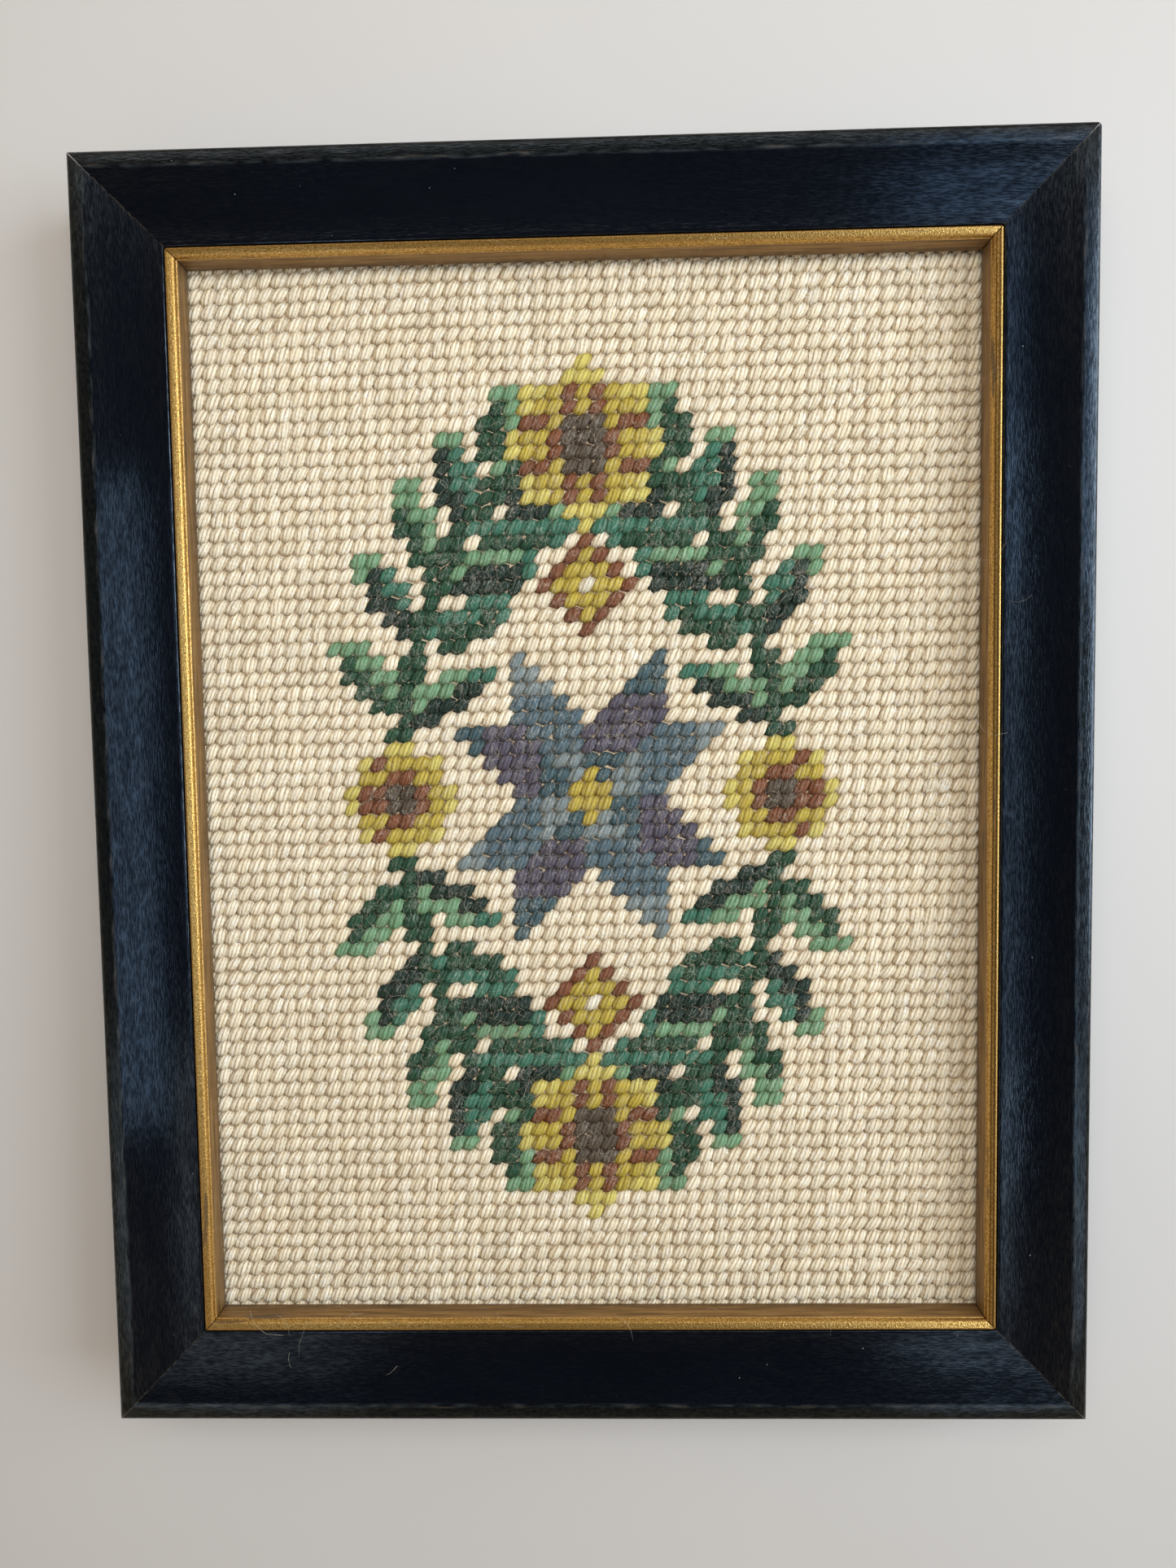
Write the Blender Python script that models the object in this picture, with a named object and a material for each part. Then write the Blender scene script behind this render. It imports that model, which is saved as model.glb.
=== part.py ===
"""A small framed needlepoint, lying on its back.

The frame is four mitred lengths of black moulding with a shallow hollow on the face. Inside them sits a
gilt slip, four thin mitred strips with a round nose, and behind the slip lie the worked canvas and a
backing board. +Z points out of the picture, +Y to the picture's top, and the origin is the centre of the
frame's back. Sizes are in metres.
"""

import math

import bmesh
import bpy

MM = 0.001

# Driving sizes
OUTER_WIDTH = 172 * MM
OUTER_HEIGHT = 221 * MM
FRAME_DEPTH = 20 * MM
SEAT_GAP = 0.3 * MM
MITRE_SETBACK = SEAT_GAP / math.sqrt(2)

# Moulding, measured inwards from its outer edge and up from the back
BACK_WIDTH = 8.6 * MM
FACE_WIDTH = 14.9 * MM
LIP_THICKNESS = 4.2 * MM
RIM_WIDTH = 2.5 * MM
RIM_ROUND = 0.8 * MM
FACE_DROP = 2.7 * MM
HOLLOW_START_DROP = 0.15 * MM
HOLLOW_SAG = 0.6 * MM
LIP_ROUND = 0.4 * MM
ROUND_STEPS = 5
HOLLOW_STEPS = 14
RUBBED_CORNER = 0.9 * MM

# Gilt slip
SLIP_SIGHT_INSET = 16.8 * MM
SLIP_FLANGE_THICKNESS = 1.3 * MM
NOSE_PROUD = 0.15 * MM
NOSE_STEPS = 10

# Worked canvas and backing board
CANVAS_THICKNESS = 2.6 * MM
CANVAS_EDGE_ROUND = 0.6 * MM
BOARD_THICKNESS = 3.0 * MM
BOARD_EDGE_ROUND = 0.3 * MM

# Heights that follow from those
LIP_TOP = FRAME_DEPTH - FACE_DROP
LIP_UNDERSIDE = LIP_TOP - LIP_THICKNESS
FLANGE_TOP = LIP_UNDERSIDE - SEAT_GAP
FLANGE_UNDERSIDE = FLANGE_TOP - SLIP_FLANGE_THICKNESS
CANVAS_TOP = FLANGE_UNDERSIDE - SEAT_GAP
CANVAS_BACK = CANVAS_TOP - CANVAS_THICKNESS
BOARD_TOP = CANVAS_BACK - SEAT_GAP
BOARD_BACK = BOARD_TOP - BOARD_THICKNESS

# Side, the length it spans, the size across the frame from it, quarter turns from the bottom side
SIDES = (
    ("bottom", OUTER_WIDTH, OUTER_HEIGHT, 0),
    ("right", OUTER_HEIGHT, OUTER_WIDTH, 1),
    ("top", OUTER_WIDTH, OUTER_HEIGHT, 2),
    ("left", OUTER_HEIGHT, OUTER_WIDTH, 3),
)


def clear_scene():
    for obj in list(bpy.data.objects):
        bpy.data.objects.remove(obj, do_unlink=True)


def finish(name, colour, roughness, metallic=0.0):
    """A plain material of one colour for a sub-part."""
    material = bpy.data.materials.new(name)
    material.use_nodes = True
    shader = material.node_tree.nodes["Principled BSDF"]
    shader.inputs["Base Color"].default_value = (*colour, 1.0)
    shader.inputs["Roughness"].default_value = roughness
    shader.inputs["Metallic"].default_value = metallic
    return material


def arc(centre, radius, start_deg, end_deg, steps):
    """Points of a circular arc, both ends included."""
    angles = [math.radians(start_deg + (end_deg - start_deg) * k / steps) for k in range(steps + 1)]
    return [(centre[0] + radius * math.cos(a), centre[1] + radius * math.sin(a)) for a in angles]


def hollow(start, end, sag, steps):
    """The scooped face between two points: their chord, dipping by sag in the middle."""
    points = []
    for k in range(1, steps):
        t = k / steps
        inset = start[0] + (end[0] - start[0]) * t
        height = start[1] + (end[1] - start[1]) * t - sag * 4 * t * (1 - t)
        points.append((inset, height))
    return points


def moulding_profile():
    """The rail's section as (inset, height) points, from the back round by the rebate and over the face."""
    lip_round = arc((FACE_WIDTH - LIP_ROUND, LIP_TOP - LIP_ROUND), LIP_ROUND, 0, 90, ROUND_STEPS)
    hollow_end = lip_round[-1]
    hollow_start = (RIM_WIDTH, FRAME_DEPTH - HOLLOW_START_DROP)
    rim_round = arc((RIM_ROUND, FRAME_DEPTH - RIM_ROUND), RIM_ROUND, 90, 180, ROUND_STEPS)
    return [
        (0, 0),
        (BACK_WIDTH, 0),
        (BACK_WIDTH, LIP_UNDERSIDE),
        (FACE_WIDTH, LIP_UNDERSIDE),
        *lip_round,
        *hollow(hollow_end, hollow_start, HOLLOW_SAG, HOLLOW_STEPS),
        hollow_start,
        *rim_round,
    ]


def slip_profile():
    """The slip's section: a flange that lies under the moulding's lip, and a nose with a round top."""
    nose_outer = FACE_WIDTH + SEAT_GAP
    nose_radius = (SLIP_SIGHT_INSET - nose_outer) / 2
    nose_centre = (nose_outer + nose_radius, LIP_TOP + NOSE_PROUD - nose_radius)
    flange_outer = BACK_WIDTH + SEAT_GAP
    return [
        (flange_outer, FLANGE_UNDERSIDE),
        (SLIP_SIGHT_INSET, FLANGE_UNDERSIDE),
        *arc(nose_centre, nose_radius, 0, 180, NOSE_STEPS),
        (nose_outer, FLANGE_TOP),
        (flange_outer, FLANGE_TOP),
    ]


def mitred_length(name, profile, span, reach, quarter_turns, material):
    """Extrudes a section along one side of the frame, with both ends cut at 45 degrees.

    Its own frame has X along the side and Y inwards from the outer edge, so at an inset of y the
    length ends y short of the corner.
    """
    half_span = span / 2 - MITRE_SETBACK
    mesh = bpy.data.meshes.new(name)
    bm = bmesh.new()
    end = [bm.verts.new((inset - half_span, inset, height)) for inset, height in profile]
    face = bm.faces.new(end)
    extruded = bmesh.ops.extrude_face_region(bm, geom=[face])["geom"]
    for vert in extruded:
        if isinstance(vert, bmesh.types.BMVert):
            vert.co.x = half_span - vert.co.y
    bmesh.ops.recalc_face_normals(bm, faces=bm.faces)
    bm.to_mesh(mesh)
    bm.free()
    mesh.shade_smooth()
    mesh.set_sharp_from_angle(angle=math.radians(24))
    mesh.materials.append(material)
    obj = bpy.data.objects.new(name, mesh)
    turn = quarter_turns * math.pi / 2
    obj.location = (reach / 2 * math.sin(turn), -reach / 2 * math.cos(turn), 0)
    obj.rotation_euler = (0, 0, turn)
    bpy.context.collection.objects.link(obj)
    return obj


def rub_corner(obj, end_sign):
    """Takes the sharp outer corner off one end of a rail, where the top right of the frame is worn."""
    bm = bmesh.new()
    bm.from_mesh(obj.data)
    corner_x = max(abs(vert.co.x) for vert in bm.verts)
    plane_point = (end_sign * (corner_x + MITRE_SETBACK - RUBBED_CORNER), 0, 0)
    cut = bmesh.ops.bisect_plane(
        bm,
        geom=[*bm.verts, *bm.edges, *bm.faces],
        plane_co=plane_point,
        plane_no=(end_sign, -1, 0),
        clear_outer=True,
    )
    rim = [edge for edge in cut["geom_cut"] if isinstance(edge, bmesh.types.BMEdge)]
    bmesh.ops.contextual_create(bm, geom=rim)
    bmesh.ops.recalc_face_normals(bm, faces=bm.faces)
    bm.to_mesh(obj.data)
    bm.free()


def slab(name, width, height, back, thickness, edge_round, material):
    """A flat sheet with slightly eased edges, centred on the frame."""
    mesh = bpy.data.meshes.new(name)
    bm = bmesh.new()
    bmesh.ops.create_cube(bm, size=1.0)
    bmesh.ops.scale(bm, vec=(width, height, thickness), verts=bm.verts)
    bmesh.ops.bevel(
        bm,
        geom=bm.edges[:],
        offset=edge_round,
        offset_type="OFFSET",
        segments=2,
        profile=0.5,
        affect="EDGES",
        material=-1,
    )
    bm.to_mesh(mesh)
    bm.free()
    mesh.materials.append(material)
    obj = bpy.data.objects.new(name, mesh)
    obj.location = (0, 0, back + thickness / 2)
    bpy.context.collection.objects.link(obj)
    return obj


def build():
    clear_scene()
    black_paint = finish("black_paint", (0.008, 0.010, 0.016), 0.32)
    gilding = finish("gilding", (0.55, 0.34, 0.10), 0.38, 0.85)
    wool = finish("wool", (0.72, 0.60, 0.42), 0.95)
    fibreboard = finish("fibreboard", (0.24, 0.16, 0.10), 0.85)

    rails = {}
    for side, span, reach, turns in SIDES:
        rails[side] = mitred_length(
            "rail_" + side, moulding_profile(), span, reach, turns, black_paint
        )
        mitred_length("slip_" + side, slip_profile(), span, reach, turns, gilding)
    rub_corner(rails["top"], -1)
    rub_corner(rails["right"], 1)

    inside_width = OUTER_WIDTH - 2 * (BACK_WIDTH + SEAT_GAP)
    inside_height = OUTER_HEIGHT - 2 * (BACK_WIDTH + SEAT_GAP)
    slab(
        "worked_canvas", inside_width, inside_height, CANVAS_BACK, CANVAS_THICKNESS, CANVAS_EDGE_ROUND, wool
    )
    slab(
        "backing_board", inside_width, inside_height, BOARD_BACK, BOARD_THICKNESS, BOARD_EDGE_ROUND, fibreboard
    )


build()
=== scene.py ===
import math

import bmesh
import bpy
import numpy as np
from mathutils import Euler, Matrix, Vector


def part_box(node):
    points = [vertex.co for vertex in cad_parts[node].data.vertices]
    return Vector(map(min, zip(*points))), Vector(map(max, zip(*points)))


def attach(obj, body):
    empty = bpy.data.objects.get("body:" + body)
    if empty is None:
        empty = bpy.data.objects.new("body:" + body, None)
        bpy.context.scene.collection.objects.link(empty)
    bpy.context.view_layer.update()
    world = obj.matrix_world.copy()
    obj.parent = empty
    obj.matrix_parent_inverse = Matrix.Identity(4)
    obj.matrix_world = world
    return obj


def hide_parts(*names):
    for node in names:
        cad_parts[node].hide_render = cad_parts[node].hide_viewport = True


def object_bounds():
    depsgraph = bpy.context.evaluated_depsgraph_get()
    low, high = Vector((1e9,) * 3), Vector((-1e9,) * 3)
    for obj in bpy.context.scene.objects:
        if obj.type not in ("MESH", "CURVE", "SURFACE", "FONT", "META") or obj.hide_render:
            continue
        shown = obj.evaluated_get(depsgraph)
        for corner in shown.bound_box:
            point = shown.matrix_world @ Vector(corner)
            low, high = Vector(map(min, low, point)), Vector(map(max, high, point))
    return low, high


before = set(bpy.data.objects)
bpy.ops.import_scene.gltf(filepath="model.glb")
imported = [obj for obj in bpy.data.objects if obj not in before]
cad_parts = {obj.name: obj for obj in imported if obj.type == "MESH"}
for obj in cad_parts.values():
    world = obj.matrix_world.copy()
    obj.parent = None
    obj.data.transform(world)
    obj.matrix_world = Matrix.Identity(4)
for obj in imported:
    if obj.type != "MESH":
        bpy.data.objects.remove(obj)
cad_low, cad_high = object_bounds()

# The view. The picture lies on its back and is looked at from 19 cm over its face, from a little
# above and to the right of its middle, with a wide lens that isn't held quite square to it.
VIEW_PLACE = (0.00493, 0.01454, 0.20805)
VIEW_TURN_DEG = (-3.546, 1.442, -0.902)
VIEW_LENS = 25.24
VIEW_LONG_SIDE = 36.0
VIEW_NEAR = 0.01
VIEW_FAR = 20


def put_in(name, data):
    """Puts a new piece, lamp or camera in the scene."""
    thing = bpy.data.objects.new(name, data)
    bpy.context.scene.collection.objects.link(thing)
    return thing


view = put_in("view", bpy.data.cameras.new("view"))
view.data.lens = VIEW_LENS
view.data.sensor_width = VIEW_LONG_SIDE
view.data.sensor_fit = "AUTO"
view.data.clip_start = VIEW_NEAR
view.data.clip_end = VIEW_FAR
view.location = VIEW_PLACE
view.rotation_euler = Euler([math.radians(angle) for angle in VIEW_TURN_DEG])
bpy.context.scene.camera = view


# The moulding. Four lengths of wood with a narrow flat rim and a shallow hollow that runs down to the
# picture, painted satin black over the face and sides and left bare behind. The ends are sawn at 45
# degrees and glued, the paint is rubbed brown along the rim, and a thin pale line shows at the joints.
MM = 0.001
outer_width, outer_height, frame_depth = cad_high - cad_low
RAIL_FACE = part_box("rail_left")[1].x - cad_low.x
REBATE_INSET = 8.6 * MM
LIP_UNDERSIDE = 13.1 * MM
LIP_TOP = 17.3 * MM
RIM_WIDTH = 2.8 * MM
RIM_DROP = 0.15 * MM
HOLLOW_SAG = 0.6 * MM
HOLLOW_CUTS = 15
MITRE_OPEN = 0.06 * MM
RUBBED_CORNER = 0.9 * MM
# The face lies above this height, and the rebate below it
FACE_ABOVE = LIP_UNDERSIDE + 1 * MM
# A strip strays from straight by this much, in two waves of so many radians a metre, and is straight
# again this far from its mitres
HAND_WAVE = 0.035 * MM
SLOW_WAVE = 61
QUICK_WAVE = 143
WAVE_MARGIN = 3 * MM
CROSS_CUTS = 44
SHARP_DEG = 32
# How far apart the four sides lie in the patterns, so that no two sides are alike
SIDE_SHIFT = 1.7
# The darker and the lighter tone of the paint, of its patina on the rim and of the wood behind
PAINT_TONES = ((0.0016, 0.0023, 0.0040), (0.0029, 0.0040, 0.0070))
PATINA_TONES = ((0.0020, 0.0028, 0.0034), (0.0050, 0.0058, 0.0058))
WOOD_TONES = ((0.46, 0.29, 0.14), (0.62, 0.44, 0.25))
# A bluish grey for the painted highlight along the arris where the rim turns down
EDGE_HIGHLIGHT = (0.036, 0.044, 0.050)
RUBBED_BROWN = (0.075, 0.048, 0.026)
SEAM_PALE = (0.165, 0.140, 0.110)
DUST_GREY = (0.50, 0.52, 0.55)
PORE_BROWN = (0.20, 0.11, 0.05)
PAINT_SHEEN = (0.68, 0.83, 1.0, 1.0)
# Where the rim is rubbed, and where it turns down to the hollow and carries the painted highlight, as
# insets
RUB_LINE = 2.5 * MM
TURN_LINE = 2.7 * MM
# Side, length along it, distance across the frame from it, quarter turns from the bottom side
SIDES = (
    ("bottom", outer_width, outer_height, 0),
    ("right", outer_height, outer_width, 1),
    ("top", outer_width, outer_height, 2),
    ("left", outer_height, outer_width, 3),
)


def start_finish(name):
    """A new material and its shader."""
    material = bpy.data.materials.new(name)
    material.use_nodes = True
    return material, material.node_tree.nodes["Principled BSDF"]


def join(material, output, socket):
    material.node_tree.links.new(output, socket)


def add(material, kind, settings=None, **sockets):
    """Adds a node, with each socket either linked to another node's output or set."""
    new = material.node_tree.nodes.new(kind)
    for key, value in (settings or {}).items():
        setattr(new, key, value)
    for key, value in sockets.items():
        socket = new.inputs[int(key[1:])] if key[1:].isdigit() else new.inputs[key.replace("_", " ")]
        if isinstance(value, bpy.types.NodeSocket):
            join(material, value, socket)
        else:
            socket.default_value = value
    return new


def calc(material, operation, first, second=0.0):
    """One sum on one or two values."""
    return add(material, "ShaderNodeMath", {"operation": operation}, i0=first, i1=second).outputs[0]


def away_from(material, value, line):
    """How far a value is from a line, to either side."""
    return calc(material, "ABSOLUTE", calc(material, "SUBTRACT", value, line))


def spread(material, value, low, high, to_low=0.0, to_high=1.0):
    """Stretches the range from low to high over another, held at its ends."""
    return add(
        material,
        "ShaderNodeMapRange",
        Value=value,
        From_Min=low,
        From_Max=high,
        To_Min=to_low,
        To_Max=to_high,
    ).outputs[0]


def blend_colours(material, share, first, second):
    """Goes from the first colour to the second as share goes from 0 to 1."""
    mix = add(material, "ShaderNodeMix", {"data_type": "RGBA"}, Factor=share)
    for socket, colour in ((mix.inputs[6], first), (mix.inputs[7], second)):
        if isinstance(colour, bpy.types.NodeSocket):
            join(material, colour, socket)
        else:
            socket.default_value = (*colour, 1.0)
    return mix.outputs[2]


def grain(material, place, scale, detail=2.0, stretch=(1, 1, 1)):
    """Noise at so many waves a metre, with its place stretched first."""
    moved = add(material, "ShaderNodeMapping", Vector=place, Scale=stretch).outputs[0]
    return add(material, "ShaderNodeTexNoise", Vector=moved, Scale=scale, Detail=detail).outputs["Fac"]


def raise_by(material, shader, height, distance):
    """Raises the surface by a height from 0 to 1, times a distance."""
    bump = add(material, "ShaderNodeBump", Height=height, Distance=distance, Strength=1.0)
    join(material, bump.outputs[0], shader.inputs["Normal"])


def black_paint():
    """Satin black with a navy cast, brushed along the rail, rubbed brown where hands and dusters reach.

    rail_place is the strip's own (along, inset, height) and to_mitre how far a point is from the joint.
    """
    material, shader = start_finish("black_paint")
    place = add(material, "ShaderNodeAttribute", {"attribute_name": "rail_place"}).outputs["Vector"]
    mitre = add(material, "ShaderNodeAttribute", {"attribute_name": "to_mitre"}).outputs["Fac"]
    split = add(material, "ShaderNodeSeparateXYZ", Vector=place)
    inset = split.outputs[1]

    brush = grain(material, place, 1.0, 2.0, (680, 4300, 4300))
    cloud = grain(material, place, 1.0, 2.0, (35, 130, 130))
    fleck = grain(material, place, 3400.0, 1.0)
    paint = blend_colours(material, cloud, *PAINT_TONES)

    rub = grain(material, place, 1.0, 5.0, (260, 1500, 1500))
    near_rim = spread(material, away_from(material, inset, RUB_LINE), 0.9 * MM, 0.2 * MM)
    near_edge = spread(material, inset, 0.7 * MM, 0.0)
    rim = calc(material, "MAXIMUM", near_rim, near_edge)
    on_rim = spread(material, inset, 2.9 * MM, 2.6 * MM)
    mottle = spread(material, grain(material, place, 1500.0, 4.0), 0.40, 0.62)
    patina = blend_colours(material, mottle, *PATINA_TONES)
    paint = blend_colours(material, on_rim, paint, patina)
    # Painted highlight: a thin bluish-grey line along the arris where the rim turns down, broken up by the
    # rub noise
    edge_highlight = spread(material, away_from(material, inset, TURN_LINE), 0.45 * MM, 0.1 * MM)
    edge_highlight = calc(material, "MULTIPLY", edge_highlight, spread(material, rub, 0.40, 0.66, 0.0, 0.55))
    paint = blend_colours(material, edge_highlight, paint, EDGE_HIGHLIGHT)
    rubbed = spread(material, calc(material, "MULTIPLY", rim, rub), 0.54, 0.72)
    paint = blend_colours(material, calc(material, "MULTIPLY", rubbed, 0.30), paint, RUBBED_BROWN)

    # A thin pale line along each mitre, stronger towards the outer edge
    seam = spread(material, mitre, 0.16 * MM, 0.04 * MM)
    seam = calc(material, "MULTIPLY", seam, spread(material, rub, 0.42, 0.62))
    outer_seam = spread(material, inset, 4.5 * MM, 2.0 * MM, 0.55, 1.0)
    seam = calc(material, "MULTIPLY", seam, outer_seam)
    paint = blend_colours(material, calc(material, "MULTIPLY", seam, 0.8), paint, SEAM_PALE)

    mote = add(material, "ShaderNodeTexVoronoi", Vector=place, Scale=420.0)
    mote_size = spread(material, mote.outputs["Color"], 0.55, 1.0, 0.0, 0.055)
    dust = calc(material, "LESS_THAN", mote.outputs["Distance"], mote_size)
    paint = blend_colours(material, calc(material, "MULTIPLY", dust, 0.55), paint, DUST_GREY)
    join(material, paint, shader.inputs["Base Color"])

    dull = spread(material, brush, 0.30, 0.70, 0.15, 0.21)
    dull = calc(material, "ADD", dull, calc(material, "MULTIPLY", rubbed, 0.15))
    join(material, calc(material, "MAXIMUM", dull, calc(material, "MULTIPLY", dust, 0.8)),
         shader.inputs["Roughness"])
    relief = calc(material, "ADD", calc(material, "MULTIPLY", brush, 0.9),
                  calc(material, "MULTIPLY", fleck, 0.1))
    raise_by(material, shader, relief, 0.03 * MM)
    uneven = spread(material, grain(material, place, 1.0, 3.0, (170, 760, 760)), 0.36, 0.64, 0.30, 0.54)
    uneven = calc(material, "MULTIPLY", uneven, spread(material, brush, 0.40, 0.62, 0.45, 1.65))
    uneven = calc(material, "ADD", uneven, calc(material, "MULTIPLY", on_rim, 0.15))
    join(material, uneven, shader.inputs["Specular IOR Level"])
    shader.inputs["Specular Tint"].default_value = PAINT_SHEEN
    return material


def bare_wood():
    """The sawn back and rebate, left unpainted."""
    material, shader = start_finish("bare_wood")
    place = add(material, "ShaderNodeAttribute", {"attribute_name": "rail_place"}).outputs["Vector"]
    figure = grain(material, place, 1.0, 4.0, (22, 900, 900))
    pores = grain(material, place, 1.0, 2.0, (260, 4200, 4200))
    wood = blend_colours(material, spread(material, figure, 0.35, 0.65), *WOOD_TONES)
    wood = blend_colours(material, spread(material, pores, 0.60, 0.75, 0.0, 0.5), wood, PORE_BROWN)
    join(material, wood, shader.inputs["Base Color"])
    raise_by(material, shader, pores, 0.06 * MM)
    shader.inputs["Roughness"].default_value = 0.75
    return material


def saw_off(bm, along, facing):
    """Saws through a strip from so far along its outer edge, takes the end off and closes the cut."""
    cut = bmesh.ops.bisect_plane(bm, geom=[*bm.verts, *bm.edges, *bm.faces], clear_outer=True,
                                 plane_co=(along, 0, 0), plane_no=facing)
    rim = [edge for edge in cut["geom_cut"] if isinstance(edge, bmesh.types.BMEdge)]
    bmesh.ops.holes_fill(bm, edges=rim)


def mitred_strip(corners, rounded, span, turns, hollowed):
    """One length of moulding or slip: a section run along a side, its arrises rounded, its ends mitred.

    corners are the section's (inset, height) points, and rounded says how far and in how many steps a
    corner is eased. hollowed are the insets between which the face is hollowed, or None. The strip has
    X along the side and Y inwards from the outer edge, and place_strip turns it to its side.
    """
    bm = bmesh.new()
    end = [bm.verts.new((-span / 2, inset, height)) for inset, height in corners]
    run = bmesh.ops.extrude_face_region(bm, geom=[bm.faces.new(end)])["geom"]
    moved = [part for part in run if isinstance(part, bmesh.types.BMVert)]
    bmesh.ops.translate(bm, vec=(span, 0, 0), verts=moved)
    bmesh.ops.recalc_face_normals(bm, faces=bm.faces)

    if hollowed:
        hollow_from, hollow_to = hollowed
        across = [
            edge for edge in bm.edges
            if {round(vert.co.y, 6) for vert in edge.verts} == {round(hollow_from, 6), round(hollow_to, 6)}
            and min(vert.co.z for vert in edge.verts) > FACE_ABOVE
        ]
        bmesh.ops.subdivide_edges(bm, edges=across, cuts=HOLLOW_CUTS, use_grid_fill=True)
        for vert in bm.verts:
            share = (vert.co.y - hollow_from) / (hollow_to - hollow_from)
            if 0 < share < 1 and vert.co.z > FACE_ABOVE:
                vert.co.z -= HOLLOW_SAG * 4 * share * (1 - share)

    for (inset, height), width, steps in rounded:
        arris = [
            edge for edge in bm.edges
            if all(abs(vert.co.y - inset) < 1e-6 and abs(vert.co.z - height) < 1e-6 for vert in edge.verts)
        ]
        bmesh.ops.bevel(bm, geom=arris, offset=width, offset_type="OFFSET", segments=steps,
                        profile=0.5, affect="EDGES", material=-1)

    straight = span / 2 - RAIL_FACE - WAVE_MARGIN
    for cut in range(CROSS_CUTS + 1):
        place = -straight + 2 * straight * cut / CROSS_CUTS
        bmesh.ops.bisect_plane(bm, geom=[*bm.verts, *bm.edges, *bm.faces],
                               plane_co=(place, 0, 0), plane_no=(1, 0, 0))
    for vert in bm.verts:
        if abs(vert.co.x) < straight and vert.co.z > LIP_UNDERSIDE:
            wave = math.sin(vert.co.x * SLOW_WAVE + turns) + math.sin(vert.co.x * QUICK_WAVE + 2 * turns)
            vert.co.z += HAND_WAVE * wave * math.cos(math.pi / 2 * vert.co.x / straight) / 2

    for way in (-1, 1):
        saw_off(bm, way * (span / 2 - MITRE_OPEN), (way, 1, 0))
    return bm


def place_strip(bm, name, span, reach, turns, materials, is_bare):
    """Writes the strip's own measure on its points for the finish, and turns it to its side."""
    mesh = bpy.data.meshes.new(name)
    bmesh.ops.recalc_face_normals(bm, faces=bm.faces)
    for face in bm.faces:
        face.material_index = 1 if is_bare(face) else 0
    bm.to_mesh(mesh)
    bm.free()
    points = np.zeros(len(mesh.vertices) * 3, np.float32)
    mesh.vertices.foreach_get("co", points)
    along, inset, _ = points.reshape(-1, 3).T
    own = mesh.attributes.new("rail_place", "FLOAT_VECTOR", "POINT")
    own.data.foreach_set("vector", points + np.tile((turns * SIDE_SHIFT, 0, 0), len(mesh.vertices)))
    to_mitre = mesh.attributes.new("to_mitre", "FLOAT", "POINT")
    to_mitre.data.foreach_set("value", (span / 2 - np.abs(along) - inset) / math.sqrt(2))
    mesh.shade_smooth()
    mesh.set_sharp_from_angle(angle=math.radians(SHARP_DEG))
    for material in materials:
        mesh.materials.append(material)
    angle = turns * math.pi / 2
    out = Vector((reach / 2 * math.sin(angle), -reach / 2 * math.cos(angle), 0))
    mesh.transform(Matrix.Translation(out) @ Matrix.Rotation(angle, 4, "Z"))
    return put_in(name, mesh)


RAIL_CORNERS = (
    (0, 0),
    (REBATE_INSET, 0),
    (REBATE_INSET, LIP_UNDERSIDE),
    (RAIL_FACE, LIP_UNDERSIDE),
    (RAIL_FACE, LIP_TOP),
    (RIM_WIDTH, frame_depth - RIM_DROP),
    (0, frame_depth),
)
# Which corner of the section is eased, how far and in how many steps
RAIL_ROUNDED = (
    ((0, frame_depth), 0.8 * MM, 6),
    ((0, 0), 0.3 * MM, 2),
    ((RAIL_FACE, LIP_TOP), 0.35 * MM, 4),
    ((RIM_WIDTH, frame_depth - RIM_DROP), 0.4 * MM, 3),
)
rail_finishes = (black_paint(), bare_wood())


def unpainted(face):
    """The back, and the two faces of the rebate."""
    middle = face.calc_center_median()
    behind = face.normal.z < -0.9
    rebate_wall = face.normal.y > 0.9 and middle.z < LIP_UNDERSIDE
    return behind or rebate_wall


for side, span, reach, turns in SIDES:
    bm = mitred_strip(RAIL_CORNERS, RAIL_ROUNDED, span, turns, (RIM_WIDTH, RAIL_FACE))
    if side in ("top", "right"):
        # The sharp tip of the outer corner at one end is rubbed away
        way = -1 if side == "top" else 1
        saw_off(bm, way * (span / 2 - RUBBED_CORNER), (way, -1, 0))
    rail = place_strip(bm, "moulding_" + side, span, reach, turns, rail_finishes, unpainted)
    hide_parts("rail_" + side)
    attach(rail, "root")


# The slip. Four thin strips of wood with a round nose, covered in gold leaf and set under the
# moulding's lip. The nose is rubbed bright, the wall below it is duller and browner, and the leaf has
# gone from the nose in places.
SLIP_BACK_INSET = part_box("slip_left")[0].x - cad_low.x
SLIP_SIGHT_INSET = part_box("slip_left")[1].x - cad_low.x
SLIP_NOSE_INSET = RAIL_FACE + 0.15 * MM
SLIP_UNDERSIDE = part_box("slip_left")[0].z
SLIP_NOSE_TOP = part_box("slip_left")[1].z
FLANGE_TOP = LIP_UNDERSIDE - 0.3 * MM
NOSE_STEP = 0.18 * MM
NOSE_ROUND = 0.48 * MM
NOSE_FALL = 0.55 * MM
NOSE_BASE = SLIP_NOSE_TOP - 1.45 * MM
# Two dark brown lines along the right side's nose only, as insets
LEAF_LINES = (15.62 * MM, 16.15 * MM)
# The darker and the lighter tone of the leaf on the nose, and of the wall below it
NOSE_TONES = ((0.33, 0.185, 0.043), (0.76, 0.475, 0.155))
WALL_TONES = ((0.165, 0.090, 0.028), (0.36, 0.212, 0.077))
# Painted shade at the foot of the wall, down by the cloth
WALL_FOOT_SHADE = (0.085, 0.060, 0.045)
LINE_BROWN = (0.045, 0.026, 0.012)
WORN_BROWN = (0.030, 0.016, 0.008)
JOINT_BROWN = (0.020, 0.012, 0.006)


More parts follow.
